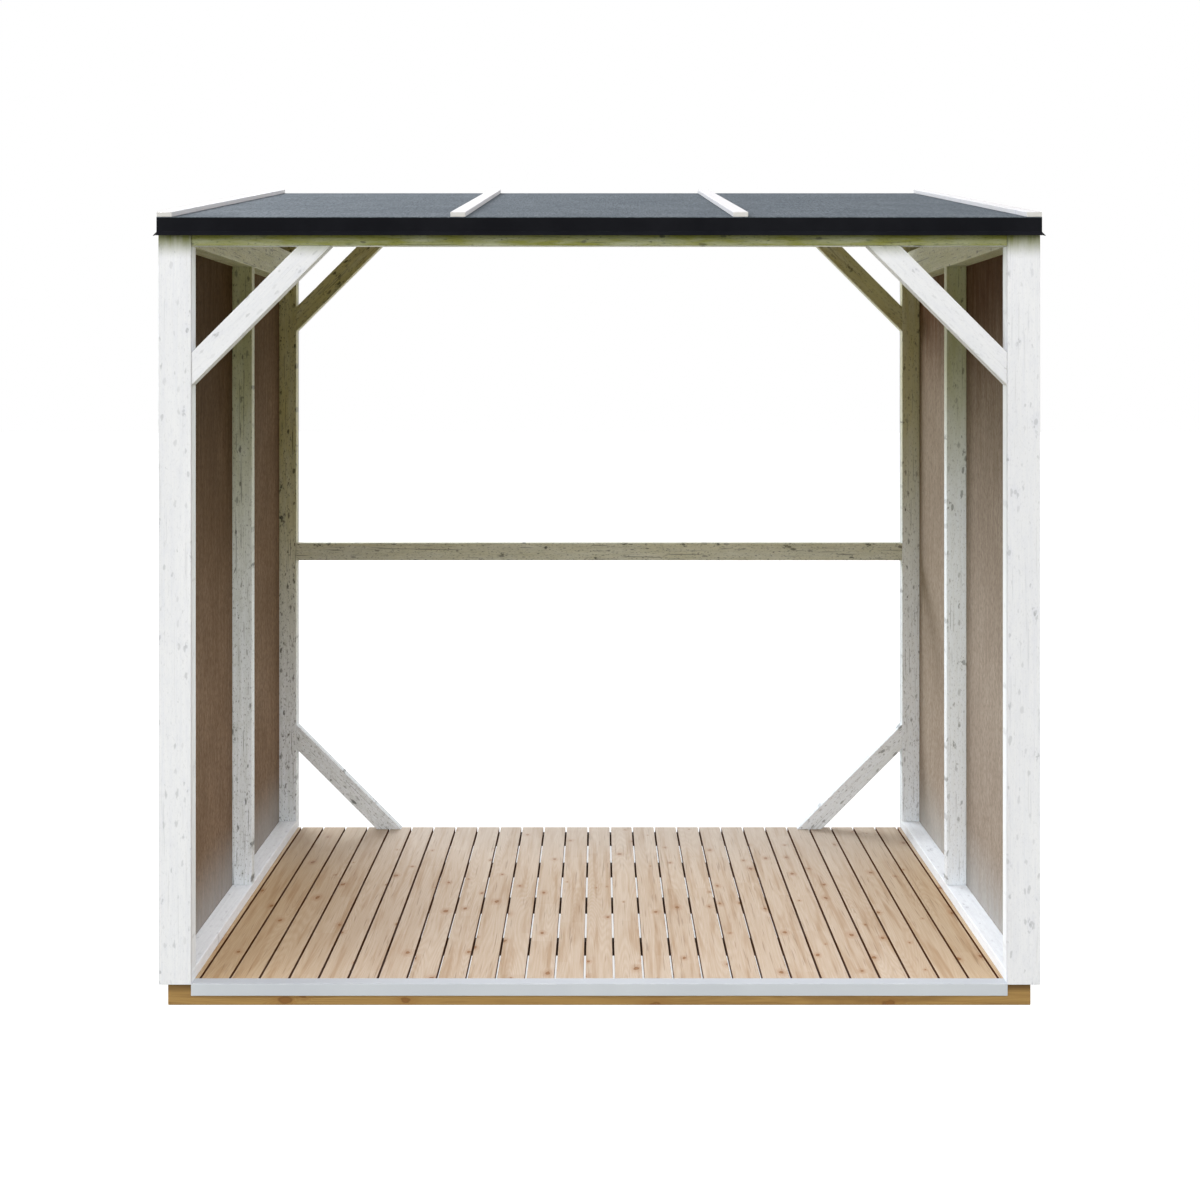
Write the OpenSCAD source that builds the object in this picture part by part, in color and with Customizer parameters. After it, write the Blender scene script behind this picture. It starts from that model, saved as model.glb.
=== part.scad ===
// Open-fronted log store: two framed and clad side walls on a slatted deck,
// knee-braced front and rear frames, and a mono-pitch felt roof that rises to the rear.
// Millimetres, +Z up, origin on the ground under the middle of the plan, front towards -Y.
// Depths called d run from the outer face of the front corner boards towards the rear.

/* [Overall] */
// Clear width between the two side walls
clear_w = 2450; // [1800:10:3600]
// Depth over the front and rear corner boards
overall_d = 1800; // [1500:10:2400]
// Height of the roof surface at the front face
front_h = 2366; // [2000:2:2800]
// Roof pitch in degrees, rising to the rear
pitch = 8.8; // [5:0.1:12]

/* [Timber] */
// Thickness of the studs, posts, braces, beams, rails and rafters
stud_t = 45; // [34:1:70]
// Width of the studs, posts, braces, beams, rails and rafters
stud_w = 70; // [58:1:95]
// Thickness of the bottom plates
plate_t = 36; // [28:1:48]

/* [Base and deck] */
// Height of the front and side bearers
bearer_h = 62; // [56:1:95]
// Width of the front and side bearers
bearer_w = 45; // [36:1:70]
// Height of the joists under the deck boards
joist_h = 45; // [40:1:50]
// Width of the joists under the deck boards
joist_w = 45; // [36:1:60]
// Number of joists behind the front bearer
joist_count = 4; // [3:1:6]
// Thickness of the deck boards
deck_t = 20; // [16:1:28]
// Width of a deck board
board_w = 83; // [70:0.5:120]
// Gap between deck boards
board_gap = 6.5; // [4:0.5:12]
// Distance from the rear corner boards' outer face to the ends of the deck boards
deck_rear_setback = 24; // [18:1:40]
// Thickness of the threshold angle's two legs
strip_t = 3; // [2:0.5:5]
// Height of the threshold angle's front leg
strip_drop = 36; // [25:1:50]

/* [Side walls] */
// Thickness of the sheathing board outside the studs
sheath_t = 9; // [6:0.5:15]
// Thickness of the outer cladding boards
clad_t = 19; // [15:1:25]
// Number of cladding boards on a wall
clad_count = 16; // [12:1:20]
// Depth of the V joint between two cladding boards
clad_v = 4; // [2:0.5:6]
// Thickness of the corner boards
corner_t = 16; // [12:1:25]
// Height of the wall head timber
head_h = 110; // [80:1:140]

/* [Frames] */
// Leg of the front knee braces along the post and the beam
front_brace_leg = 420; // [300:5:600]
// Leg of the upper rear knee braces
rear_upper_leg = 466; // [300:2:600]
// Leg of the lower rear knee braces
rear_lower_leg = 425; // [300:5:600]
// Height of the underside of the rear rail
rail_z = 1153; // [800:1:1500]

/* [Roof] */
// Thickness of the roof boards
roof_board_t = 16; // [12:1:25]
// Number of roof boards from front to rear
roof_board_count = 19; // [14:1:24]
// Depth of the V joint on the underside between two roof boards
roof_v = 3; // [2:0.5:5]
// Thickness of the roofing felt
felt_t = 4; // [3:0.5:6]
// How far the roof boards reach past the walls and corner boards on every side
roof_over = 3; // [1:1:20]
// Width of the battens over the felt
batten_w = 45; // [34:1:60]
// Thickness of the battens over the felt
batten_t = 15; // [12:1:25]
// Distance of the inner battens and middle rafters from the centre line
batten_x = 424; // [300:1:600]

/* [Drip edges] */
// Thickness of the folded metal drip edges
drip_t = 1.5; // [1:0.1:3]
// Width of the drip edge's leg that lies on the roof boards
drip_leg = 50; // [30:1:80]
// Height of the drip edge's hanging face above the kick
drip_drop = 40; // [30:1:60]
// Reach of the kick at the bottom of the drip edge
drip_kick = 11; // [6:1:16]

/* [Hidden] */

LEFT = -1;
RIGHT = 1;
WHITE_PAINT = "whitesmoke";
DECK_PINE = "burlywood";
TREATED = "darkgoldenrod";
BROWN_BOARD = "rosybrown";
FELT_GREY = "slategray";
BLACK_METAL = "#1d1f24";
PALE_METAL = "lightgray";

// Places across the width, measured from the centre line
inner_x = clear_w / 2;
frame_x = inner_x + stud_w;
sheath_x = frame_x + sheath_t;
wall_x = sheath_x + clad_t;
roof_x = wall_x + roof_over;

// Places along the depth
wall_d0 = corner_t;
wall_d1 = overall_d - corner_t;
mid_d = overall_d / 2;
rear_d0 = wall_d1 - stud_t;
front_d0 = strip_t;
front_d1 = front_d0 + stud_t;
bearer_d1 = front_d0 + bearer_w;
deck_d1 = overall_d - deck_rear_setback;
roof_d0 = -roof_over;
roof_d1 = overall_d + roof_over;

// Heights
deck_z = joist_h + deck_t;
plate_top = bearer_h + plate_t;
slope = tan(pitch);
function along(t) = t / cos(pitch);
function roof_top(d) = front_h + slope * d;
function boards_top(d) = roof_top(d) - along(felt_t);
function roof_under(d) = boards_top(d) - along(roof_board_t);
function depth_at(z) = (z - roof_under(0)) / slope;
rear_beam_z = roof_under(rear_d0) - stud_w;
rafter_h = along(stud_w);
// The front beam is a stud's width high at its middle, and the wall heads start level with its underside
head_z = roof_under(front_d0 + stud_t / 2) - stud_w;
head_top = head_z + head_h;

// Vertical offset between the two edges of a 45 degree brace
brace_cut = stud_w * sqrt(2);

// Deck layout: as many whole boards as the clear width takes, and a ripped strip at each wall
board_pitch = board_w + board_gap;
board_count = floor((clear_w - board_gap) / board_pitch);
strip_w = (clear_w - board_count * board_pitch - board_gap) / 2;
joist_step = (deck_d1 - joist_w - front_d0) / joist_count;

mid_stud_d = mid_d - stud_t / 2;
clad_pitch = (wall_d1 - wall_d0) / clad_count;
roof_board_pitch = (roof_d1 - roof_d0) / roof_board_count;
edge_batten_x = roof_x + drip_t - batten_w / 2;

// Moves geometry drawn with d along +Y to its place over the origin.
module from_front() {
    translate([0, -overall_d / 2, 0]) children();
}

// Draws geometry made for the right-hand side on the side asked for.
module on_side(side) {
    if (side == LEFT) mirror([1, 0, 0]) children();
    else children();
}

// A straight-sided timber between two corners, in x, d, z.
module block(low, high) {
    from_front() translate(low) cube(high - low);
}

// A profile in the d-z plane, extruded across the width from x0 to x1.
module across(x0, x1, profile) {
    from_front() translate([x0, 0, 0]) rotate([90, 0, 90]) linear_extrude(x1 - x0) polygon(profile);
}

// A profile in the x-z plane, extruded from depth d0 to depth d1.
module into(d0, d1, profile) {
    from_front() translate([0, d1, 0]) rotate([90, 0, 0]) linear_extrude(d1 - d0) polygon(profile);
}

// An upright from height z0 up to the underside of the roof boards.
function under_roof(d0, d1, z0) = [
    [d0, z0], [d1, z0], [d1, roof_under(d1)], [d0, roof_under(d0)]
];

// A layer that lies along the roof from d0 to d1, with its underside lift above the roof boards.
function roof_layer(d0, d1, lift, thickness) = [
    [d0, boards_top(d0) + along(lift)], [d1, boards_top(d1) + along(lift)],
    [d1, boards_top(d1) + along(lift + thickness)], [d0, boards_top(d0) + along(lift + thickness)]
];

module front_bearer() {
    color(TREATED) block([-frame_x, front_d0, 0], [frame_x, bearer_d1, bearer_h]);
}

module side_bearer(side) {
    color(TREATED) on_side(side) block([frame_x - bearer_w, bearer_d1, 0], [frame_x, wall_d1, bearer_h]);
}

module deck_joists() {
    color(TREATED) for (i = [1:joist_count]) {
        d = front_d0 + i * joist_step;
        block([bearer_w - frame_x, d, 0], [frame_x - bearer_w, d + joist_w, joist_h]);
    }
}

module deck_boards() {
    color(DECK_PINE) {
        for (i = [0:board_count - 1]) {
            x = (i - board_count / 2) * board_pitch + board_gap / 2;
            block([x, bearer_d1, joist_h], [x + board_w, deck_d1, deck_z]);
        }
        for (side = [LEFT, RIGHT])
            on_side(side) block([inner_x - strip_w, bearer_d1, joist_h], [inner_x, deck_d1, deck_z]);
    }
}

module threshold_angle() {
    top = bearer_h + strip_t;
    color(PALE_METAL) across(-inner_x, inner_x, [
        [0, top - strip_drop], [strip_t, top - strip_drop], [strip_t, bearer_h],
        [bearer_d1, bearer_h], [bearer_d1, top], [0, top]
    ]);
}

module bottom_plate(side) {
    color(WHITE_PAINT) on_side(side) block([inner_x, wall_d0, bearer_h], [frame_x, wall_d1, plate_top]);
}

module stud(side, d) {
    color(WHITE_PAINT) on_side(side) block([inner_x, d, plate_top], [frame_x, d + stud_t, head_z]);
}

module rear_post(side) {
    color(WHITE_PAINT) on_side(side) across(inner_x, frame_x, under_roof(rear_d0, wall_d1, plate_top));
}

// The wall head is level, and its front corner is cut to the roof's slope.
module wall_head(side) {
    color(WHITE_PAINT) on_side(side) across(inner_x, frame_x, [
        [wall_d0, head_z], [rear_d0, head_z], [rear_d0, head_top],
        [depth_at(head_top), head_top], [wall_d0, roof_under(wall_d0)]
    ]);
}

module sheathing(side) {
    color(BROWN_BOARD) on_side(side) across(frame_x, sheath_x, under_roof(wall_d0, wall_d1, bearer_h));
}

// Vertical boards side by side, with a V joint between each pair on the outer face.
module cladding(side) {
    color(WHITE_PAINT) on_side(side) difference() {
        across(sheath_x, wall_x, under_roof(wall_d0, wall_d1, bearer_h));
        for (i = [1:clad_count - 1])
            from_front() translate([wall_x, wall_d0 + i * clad_pitch, 0])
                rotate(45) translate([-clad_v / sqrt(2), -clad_v / sqrt(2), 0])
                    cube([clad_v * sqrt(2), clad_v * sqrt(2), roof_top(overall_d)]);
    }
}

module corner_board(side, d) {
    color(WHITE_PAINT) on_side(side) across(inner_x, wall_x, under_roof(d, d + corner_t, bearer_h));
}

module front_beam() {
    color(WHITE_PAINT) across(-inner_x, inner_x, under_roof(front_d0, front_d1, head_z));
}

// A 45 degree brace in the corner between a post and what it meets at height z.
// up is 1 where it rises from the post to a beam and -1 where it falls to the deck.
module knee_brace(side, d, z, leg, up) {
    color(WHITE_PAINT) on_side(side) into(d, d + stud_t, [
        [inner_x, z - up * leg], [inner_x - leg, z], [inner_x - leg + brace_cut, z],
        [inner_x, z - up * (leg - brace_cut)]
    ]);
}

module front_brace(side) {
    knee_brace(side, front_d0, head_z, front_brace_leg, 1);
}

module rear_upper_brace(side) {
    knee_brace(side, rear_d0, rear_beam_z, rear_upper_leg, 1);
}

module rear_lower_brace(side) {
    knee_brace(side, rear_d0, deck_z, rear_lower_leg, -1);
}

module rear_beam() {
    color(WHITE_PAINT) across(-inner_x, inner_x, under_roof(rear_d0, wall_d1, rear_beam_z));
}

module rear_rail() {
    color(WHITE_PAINT) block([-inner_x, rear_d0, rail_z], [inner_x, wall_d1, rail_z + stud_w]);
}

// Two side rafters that taper to nothing on the wall heads, and two between the front and rear beams.
module rafters() {
    color(WHITE_PAINT) for (side = [LEFT, RIGHT]) on_side(side) {
        across(frame_x - stud_t, frame_x, [
            [depth_at(head_top), head_top], [depth_at(head_top + rafter_h), head_top],
            [rear_d0, roof_under(rear_d0) - rafter_h], [rear_d0, roof_under(rear_d0)]
        ]);
        across(batten_x - stud_t / 2, batten_x + stud_t / 2, [
            [front_d1, roof_under(front_d1) - rafter_h], [rear_d0, roof_under(rear_d0) - rafter_h],
            [rear_d0, roof_under(rear_d0)], [front_d1, roof_under(front_d1)]
        ]);
    }
}

// Boards across the rafters, with V joints on the underside.
module roof_boards() {
    joints = [for (i = [1:roof_board_count - 1]) roof_d0 + i * roof_board_pitch];
    underside = [
        for (d = joints) each [
            [d - roof_v, roof_under(d - roof_v)],
            [d, roof_under(d) + roof_v],
            [d + roof_v, roof_under(d + roof_v)]
        ]
    ];
    color(DECK_PINE) across(-roof_x, roof_x, concat(
        [[roof_d0, boards_top(roof_d0)], [roof_d0, roof_under(roof_d0)]], underside,
        [[roof_d1, roof_under(roof_d1)], [roof_d1, boards_top(roof_d1)]]
    ));
}

// One sheet to the outer faces of the drip edges, let down between their flat legs.
module roof_felt() {
    flat_x = roof_x - drip_leg;
    color(FELT_GREY) {
        across(-roof_x - drip_t, roof_x + drip_t,
            roof_layer(roof_d0 - drip_t, roof_d1 + drip_t, drip_t, felt_t - drip_t));
        across(-flat_x, flat_x, roof_layer(roof_d0 + drip_leg, roof_d1 - drip_leg, 0, drip_t));
    }
}

module batten(side, x) {
    color(WHITE_PAINT) on_side(side)
        across(x - batten_w / 2, x + batten_w / 2, roof_layer(roof_d0, roof_d1, felt_t, batten_t));
}

// Drip edge along the front (way -1) or the rear (way 1) of the roof, which ends at depth e.
module end_drip_edge(e, way) {
    inner_d = e - way * drip_leg;
    face_d = e + way * drip_t;
    tip_d = face_d + way * drip_kick;
    fold_z = boards_top(e) - drip_drop;
    half_t = drip_t / sqrt(2);
    color(BLACK_METAL) across(-roof_x, roof_x, [
        [inner_d, boards_top(inner_d)], [inner_d, boards_top(inner_d) + along(drip_t)],
        [face_d, boards_top(face_d) + along(drip_t)], [face_d, fold_z],
        [tip_d, fold_z - drip_kick], [tip_d - way * half_t, fold_z - drip_kick - half_t],
        [e, fold_z - drip_t * tan(22.5)], [e, boards_top(e)]
    ]);
}

// Drip edge down one side of the roof, between the flat legs of the front and rear ones.
module side_drip_edge(side) {
    face_x = roof_x + drip_t;
    tip_x = face_x + drip_kick;
    half_t = drip_t / sqrt(2);
    d0 = roof_d0 - drip_t;
    d1 = roof_d1 + drip_t;
    face = [
        [roof_x, drip_t], [face_x, drip_t], [face_x, -drip_drop], [tip_x, -drip_drop - drip_kick],
        [tip_x - half_t, -drip_drop - drip_kick - half_t], [roof_x, -drip_drop - drip_t * tan(22.5)]
    ];
    color(BLACK_METAL) on_side(side) {
        intersection() {
            from_front() translate([0, 0, boards_top(0)]) rotate([pitch, 0, 0])
                translate([0, along(2 * d1), 0]) rotate([90, 0, 0])
                    linear_extrude(along(3 * d1)) polygon(face);
            block([0, d0, 0], [2 * roof_x, d1, 2 * front_h]);
        }
        across(roof_x - drip_leg, roof_x, roof_layer(roof_d0 + drip_leg, roof_d1 - drip_leg, 0, drip_t));
    }
}

front_bearer();
side_bearer(LEFT);  // left_bearer
side_bearer(RIGHT);  // right_bearer
deck_joists();
deck_boards();
threshold_angle();
bottom_plate(LEFT);  // left_bottom_plate
bottom_plate(RIGHT);  // right_bottom_plate
stud(LEFT, wall_d0);  // left_front_stud
stud(RIGHT, wall_d0);  // right_front_stud
stud(LEFT, mid_stud_d);  // left_mid_stud
stud(RIGHT, mid_stud_d);  // right_mid_stud
rear_post(LEFT);  // left_rear_post
rear_post(RIGHT);  // right_rear_post
wall_head(LEFT);  // left_wall_head
wall_head(RIGHT);  // right_wall_head
sheathing(LEFT);  // left_sheathing
sheathing(RIGHT);  // right_sheathing
cladding(LEFT);  // left_cladding
cladding(RIGHT);  // right_cladding
corner_board(LEFT, 0);  // left_front_corner_board
corner_board(RIGHT, 0);  // right_front_corner_board
corner_board(LEFT, wall_d1);  // left_rear_corner_board
corner_board(RIGHT, wall_d1);  // right_rear_corner_board
front_beam();
front_brace(LEFT);  // front_left_brace
front_brace(RIGHT);  // front_right_brace
rear_beam();
rear_rail();
rear_upper_brace(LEFT);  // rear_upper_left_brace
rear_upper_brace(RIGHT);  // rear_upper_right_brace
rear_lower_brace(LEFT);  // rear_lower_left_brace
rear_lower_brace(RIGHT);  // rear_lower_right_brace
rafters();
roof_boards();
roof_felt();
batten(LEFT, edge_batten_x);  // left_edge_batten
batten(LEFT, batten_x);  // left_batten
batten(RIGHT, batten_x);  // right_batten
batten(RIGHT, edge_batten_x);  // right_edge_batten
end_drip_edge(roof_d0, -1);  // front_drip_edge
end_drip_edge(roof_d1, 1);  // rear_drip_edge
side_drip_edge(LEFT);  // left_drip_edge
side_drip_edge(RIGHT);  // right_drip_edge
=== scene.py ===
"""Looks of the open-fronted log store, built around its packed construction.

Every timber, board and sheet is remade with eased edges in the place of its construction node. Its mesh
carries what the finishes read: "grain" (a place across the face, through it and along the fibres, in
metres), masks for the eased edges ("arris"), the cut ends ("end_grain") and the sides beside the fibres
("flank"), and one chance value for each board ("board_tone").
"""

import math
import random

import bmesh
import bpy
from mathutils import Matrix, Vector


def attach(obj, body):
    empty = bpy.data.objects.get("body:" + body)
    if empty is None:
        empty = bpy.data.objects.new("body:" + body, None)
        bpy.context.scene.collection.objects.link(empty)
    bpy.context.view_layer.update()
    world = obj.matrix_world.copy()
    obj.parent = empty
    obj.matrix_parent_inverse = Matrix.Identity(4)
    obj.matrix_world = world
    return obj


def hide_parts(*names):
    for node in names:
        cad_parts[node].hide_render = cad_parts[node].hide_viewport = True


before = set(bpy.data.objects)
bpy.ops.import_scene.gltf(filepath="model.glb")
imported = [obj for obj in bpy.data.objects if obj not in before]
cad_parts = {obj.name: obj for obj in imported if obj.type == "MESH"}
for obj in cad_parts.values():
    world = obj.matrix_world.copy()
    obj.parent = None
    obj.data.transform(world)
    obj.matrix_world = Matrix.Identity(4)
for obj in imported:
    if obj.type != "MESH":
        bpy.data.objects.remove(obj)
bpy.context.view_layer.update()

# The ways that fibres run
ACROSS = Vector((1, 0, 0))
INTO = Vector((0, 1, 0))
UP = Vector((0, 0, 1))
ROOF_PITCH = math.radians(8.8)
ALONG_ROOF = Vector((0, math.cos(ROOF_PITCH), math.sin(ROOF_PITCH)))
RISING_RIGHT = Vector((1, 0, 1)).normalized()
RISING_LEFT = Vector((-1, 0, 1)).normalized()

# How much is taken off the edges, in metres
TIMBER_EASE = 0.0022
BOARD_EASE = 0.0015
DECK_EASE = 0.0012
THIN_EASE = 0.0008
SHEET_EASE = 0.0006
FOLD_EASE = 0.0003

# Limits used when a piece is remade
WELD_DISTANCE = 1e-5
FLAT_WITHIN = math.radians(0.5)
SHARP_FROM = math.radians(20)
UPRIGHT_FROM = 0.9
END_FACING = 0.9
FLANK_FACING = 0.7
GRAIN_SCATTER = 9

# The view is square to the open front, and shifted so that uprights stay upright
FRONT_FACE_Y = -0.900
VIEW_DISTANCE = 5.0
VIEW_HEIGHT = 1.860
VIEW_LENS = 50.0
VIEW_SENSOR = 36.0
VIEW_REACH = 200.0
HORIZON_SHIFT = -0.1787
SIDE_SHIFT = 0.0006

# The sky's light by quarter, low over the ground and high up
LOW_SKY = {
    "front_left": (0.020, 0.020, 0.012),
    "front_right": (0.020, 0.020, 0.012),
    "rear_left": (0.40, 0.40, 0.39),
    "rear_right": (0.10, 0.10, 0.09),
}
HIGH_SKY = {
    "front_left": (1.70, 1.70, 1.76),
    "front_right": (2.40, 2.40, 2.48),
    "rear_left": (0.20, 0.20, 0.21),
    "rear_right": (2.30, 2.30, 2.36),
}
ZENITH_SKY = (0.05, 0.05, 0.05)

# Each lamp: its name, place, aim, width and height, power and colour
PLAIN_LIGHT = (1.0, 1.0, 1.0)
COOL_SIDE = (0.90, 0.98, 1.08)
COOL_REAR = (0.92, 0.985, 1.06)
LAMPS = [
    ("front_softbox", (-10.0, -20.4, 20.95), (0.0, -0.3, 1.0), (66.0, 29.4), 8200.0, PLAIN_LIGHT),
    ("left_rear_softbox", (-10.0, 11.9, 11.5), (0.0, 0.0, 1.2), (12.0, 6.0), 3150.0, COOL_REAR),
    ("left_softbox", (-14.0, -7.5, 3.5), (0.0, -0.5, 1.3), (8.0, 5.0), 680.0, COOL_SIDE),
    ("right_softbox", (14.0, -7.5, 3.5), (0.0, -0.5, 1.3), (8.0, 5.0), 320.0, COOL_SIDE),
    ("high_softbox", (1.9, -7.6, 16.9), (0.0, -0.5, 0.5), (9.0, 6.0), 320.0, PLAIN_LIGHT),
]

# The ground shows white, and throws a dim warm light back onto the store
GROUND_WHITE = (1.0, 1.0, 1.0, 1.0)
GROUND_GLOW = 0.87
GROUND_LIT = (0.32, 0.32, 0.32, 1.0)
GROUND_BOUNCE = (0.230, 0.230, 0.120, 1.0)
GROUND_SIZE = 60.0
GROUND_LEVEL = -0.001


# Node helpers


FLOAT = "NodeSocketFloat"
VECTOR = "NodeSocketVector"

FULL_TURN = 6.2832

# Between these a noise mostly lies, and a face's normal turns from the side to the rear
NOISE_BETWEEN = (0.3, 0.7)
REARWARD_BETWEEN = (0.2, 0.6)

# Sockets of a Mix node that mixes colours
MIX_FACTOR = 0
MIX_BELOW = 6
MIX_ABOVE = 7
MIX_RESULT = 2


def feed(tree, socket, value):
    """Links an input to another node's output, or sets its value."""
    if isinstance(value, bpy.types.NodeSocket):
        tree.links.new(value, socket)
    else:
        socket.default_value = value


def add_node(tree, kind, inputs=None, **settings):
    """Adds a shader node, sets its properties, and sets or links its inputs by name or number."""
    made = tree.nodes.new(kind)
    for name, value in settings.items():
        setattr(made, name, value)
    for name, value in (inputs or {}).items():
        feed(tree, made.inputs[name], value)
    return made


def math_node(tree, operation, a, b=0.0, c=0.0):
    return add_node(tree, "ShaderNodeMath", {0: a, 1: b, 2: c}, operation=operation).outputs[0]


def times(tree, a, b):
    return math_node(tree, "MULTIPLY", a, b)


def vector_scale(tree, vector, factors):
    made = add_node(tree, "ShaderNodeVectorMath", {0: vector, 1: factors}, operation="MULTIPLY")
    return made.outputs[0]


def split(tree, vector):
    """The three parts of a vector."""
    return add_node(tree, "ShaderNodeSeparateXYZ", {0: vector}).outputs


def stretch(tree, value, low, high, to_low=0.0, to_high=1.0, way="LINEAR"):
    """Moves a value from one range to another and holds it at both ends."""
    made = add_node(
        tree,
        "ShaderNodeMapRange",
        {"Value": value, "From Min": low, "From Max": high, "To Min": to_low, "To Max": to_high},
        interpolation_type=way,
    )
    return made.outputs["Result"]


def ease_between(tree, value, low, high, to_low=0.0, to_high=1.0):
    """The same, with soft ends."""
    return stretch(tree, value, low, high, to_low, to_high, "SMOOTHSTEP")


def mix_colour(tree, factor, below, above, blend="MIX"):
    """Lays one colour over another; a plain colour is a tuple of three."""
    made = add_node(tree, "ShaderNodeMix", data_type="RGBA", blend_type=blend, clamp_factor=True)
    for number, value in ((MIX_FACTOR, factor), (MIX_BELOW, below), (MIX_ABOVE, above)):
        feed(tree, made.inputs[number], (*value, 1.0) if isinstance(value, tuple) else value)
    return made.outputs[MIX_RESULT]


def layered(tree, colour, rows):
    """Lays tones over a colour in turn, each row a mask and its tone."""
    for mask, tone in rows:
        colour = mix_colour(tree, mask, colour, tone)
    return colour


def noise(tree, vector, scale, detail=2.0, roughness=0.5):
    made = add_node(
        tree,
        "ShaderNodeTexNoise",
        {"Vector": vector, "Scale": scale, "Detail": detail, "Roughness": roughness},
    )
    return made.outputs["Fac"]


def drawn_noise(tree, vector, fineness, detail=2.0, roughness=0.5):
    """Noise with its own fineness across the face, through it and along the fibres."""
    return noise(tree, vector_scale(tree, vector, fineness), 1.0, detail, roughness)


def mask_of(tree, name):
    """A mask or value that a piece's mesh carries."""
    return add_node(tree, "ShaderNodeAttribute", attribute_name=name).outputs["Fac"]


def grain_of(tree):
    """The grain place that a piece's mesh carries."""
    return add_node(tree, "ShaderNodeAttribute", attribute_name="grain").outputs["Vector"]


def place_of(tree):
    """A point's place in the store's own frame, in metres."""
    return add_node(tree, "ShaderNodeTexCoord").outputs["Object"]


def rearward(tree):
    """One on the faces that look to the rear."""
    normal = add_node(tree, "ShaderNodeNewGeometry").outputs["Normal"]
    return ease_between(tree, split(tree, normal)[1], *REARWARD_BETWEEN)


def new_group(name, inputs, outputs):
    """Starts a shader node group; returns its tree and the sockets of its input node by name."""
    tree = bpy.data.node_groups.new(name, "ShaderNodeTree")
    for label, kind, default in inputs:
        socket = tree.interface.new_socket(name=label, in_out="INPUT", socket_type=kind)
        if default is not None:
            socket.default_value = default
    for label in outputs:
        tree.interface.new_socket(name=label, in_out="OUTPUT", socket_type=FLOAT)
    entry = tree.nodes.new("NodeGroupInput")
    return tree, {label: entry.outputs[label] for label, _, _ in inputs}


def close_group(tree, **results):
    leave = tree.nodes.new("NodeGroupOutput")
    for label, socket in results.items():
        tree.links.new(socket, leave.inputs[label])


def place_group(tree, group, inputs):
    """Places a group in a material and returns what it puts out."""
    return add_node(tree, "ShaderNodeGroup", inputs, node_tree=group).outputs


# Shared effects


PIN_KNOT_SPACING = 27.0


def make_softwood_group():
    """Fibres, growth rings and knots of sawn softwood, from a piece's grain."""
    tree, use = new_group(
        "softwood",
        [
            ("Grain", VECTOR, None),
            ("Ring Count", FLOAT, 46.0),
            ("Knot Spacing", FLOAT, 9.0),
            ("Knot Size", FLOAT, 0.07),
            ("Knot Share", FLOAT, 0.5),
            ("Speck Share", FLOAT, 0.5),
        ],
        ["Fibre", "Streak", "Ring", "Knot", "Rim", "Halo", "Speck", "Check", "Patch"],
    )
    grain = use["Grain"]
    parts = split(tree, grain)

    def face_cells(squash, shake, shaken_by, scale):
        """Cells on the face, drawn out along the fibres: the distance to each middle, and its dice."""
        along = times(tree, parts[2], squash)
        flat = add_node(tree, "ShaderNodeCombineXYZ", {0: parts[0], 1: along}).outputs[0]
        push = vector_scale(tree, shake, (shaken_by, shaken_by, 0.0))
        place = add_node(tree, "ShaderNodeVectorMath", {0: flat, 1: push}, operation="ADD").outputs[0]
        cells = add_node(
            tree,
            "ShaderNodeTexVoronoi",
            {"Vector": place, "Scale": scale, "Randomness": 1.0},
            voronoi_dimensions="2D",
        ).outputs
        dice = add_node(tree, "ShaderNodeSeparateColor", {0: cells["Color"]}).outputs
        return cells["Distance"], dice

    # Knots, and the crumbs of bark beside them
    wobble = drawn_noise(tree, grain, (60.0, 60.0, 30.0))
    from_knot, dice = face_cells(0.55, wobble, 0.012, use["Knot Spacing"])
    present = math_node(tree, "LESS_THAN", dice[0], use["Knot Share"])
    radius = times(tree, use["Knot Size"], stretch(tree, dice[1], 0.0, 1.0, 0.30, 1.0))
    reach = math_node(tree, "DIVIDE", from_knot, radius)
    knot = times(tree, ease_between(tree, reach, 1.0, 0.55), present)
    rim = times(tree, knot, ease_between(tree, reach, 0.80, 0.45, 1.0, 0.35))
    halo = times(tree, ease_between(tree, reach, 3.4, 0.7), present)
    crumbs = drawn_noise(tree, grain, (120.0, 120.0, 60.0), 1.5, 0.6)
    near_knot = times(tree, ease_between(tree, reach, 4.0, 1.0), present)
    near_speck = times(tree, ease_between(tree, crumbs, 0.57, 0.66), near_knot)

    # Pin knots
    from_dot, throw = face_cells(0.42, crumbs, 0.010, PIN_KNOT_SPACING)
    dot_radius = stretch(tree, throw[1], 0.0, 1.0, 0.045, 0.145)
    dot = ease_between(tree, math_node(tree, "DIVIDE", from_dot, dot_radius), 1.25, 0.55)
    dot = times(tree, dot, math_node(tree, "LESS_THAN", throw[0], use["Speck Share"]))
    dot = times(tree, dot, stretch(tree, throw[2], 0.0, 1.0, 0.35, 1.0))

    # Rings, which bend around the knots
    flow = drawn_noise(tree, grain, (11.0, 11.0, 0.60), 1.2, 0.40)
    bent = math_node(tree, "ADD", flow, times(tree, halo, 0.055))
    turns = times(tree, times(tree, bent, use["Ring Count"]), FULL_TURN)
    crack = drawn_noise(tree, grain, (170.0, 170.0, 5.0), 1.5, 0.5)
    close_group(
        tree,
        Fibre=drawn_noise(tree, grain, (520.0, 520.0, 9.0), 2.5, 0.6),
        Streak=drawn_noise(tree, grain, (130.0, 130.0, 2.6), 3.0, 0.65),
        Ring=stretch(tree, math_node(tree, "SINE", turns), -1.0, 1.0),
        Knot=knot,
        Rim=rim,
        Halo=halo,
        Speck=math_node(tree, "MAXIMUM", near_speck, dot),
        Check=ease_between(tree, crack, 0.64, 0.71),
        Patch=drawn_noise(tree, grain, (7.0, 7.0, 1.1)),
    )
    return tree


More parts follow.
